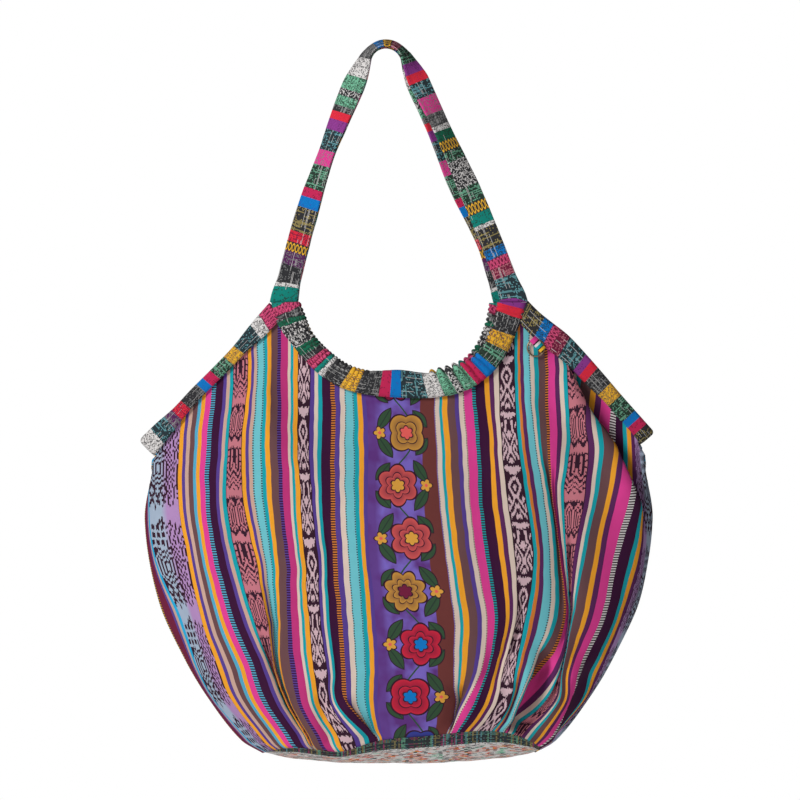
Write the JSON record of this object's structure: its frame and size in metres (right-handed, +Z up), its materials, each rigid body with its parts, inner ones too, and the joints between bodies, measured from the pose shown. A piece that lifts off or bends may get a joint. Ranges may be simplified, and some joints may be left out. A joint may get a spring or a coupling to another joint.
{
  "type": "woven shoulder bag",
  "caption": "Slouchy gathered shoulder bag of striped ikat-woven cloth, with a scooped bound mouth, a boat-shaped base and flat straps, shown hanging.",
  "frame": {"origin": "hanging point: under the top of the two straps, midway between them, where they rest on a peg or hook", "axes": "+Z up, the bag's front faces -Y, +X to the right seen from the front"},
  "size_m": [0.487, 0.1482, 0.6856],
  "materials": {
    "striped_cloth": "hand-woven cotton in narrow warp stripes of pink, teal, orange, purple, cream and brown, with ikat bands",
    "binding_cloth": "charcoal speckled handwoven cotton with cross bands of bright colours",
    "base_cloth": "charcoal and cream flecked handwoven cotton",
    "loop_cloth": "a scrap of the striped cloth, folded",
    "ring_metal": "dull bronze wire"
  },
  "bodies": {
    "root": {"front_panel": "striped_cloth", "back_panel": "striped_cloth", "base_panel": "base_cloth", "mouth_binding_front": "binding_cloth", "mouth_binding_back": "binding_cloth", "shoulder_binding_left": "binding_cloth", "shoulder_binding_right": "binding_cloth", "strap_front": "binding_cloth", "strap_back": "binding_cloth", "ring_loop": "loop_cloth", "ring": "ring_metal"}
  },
  "joints": []
}
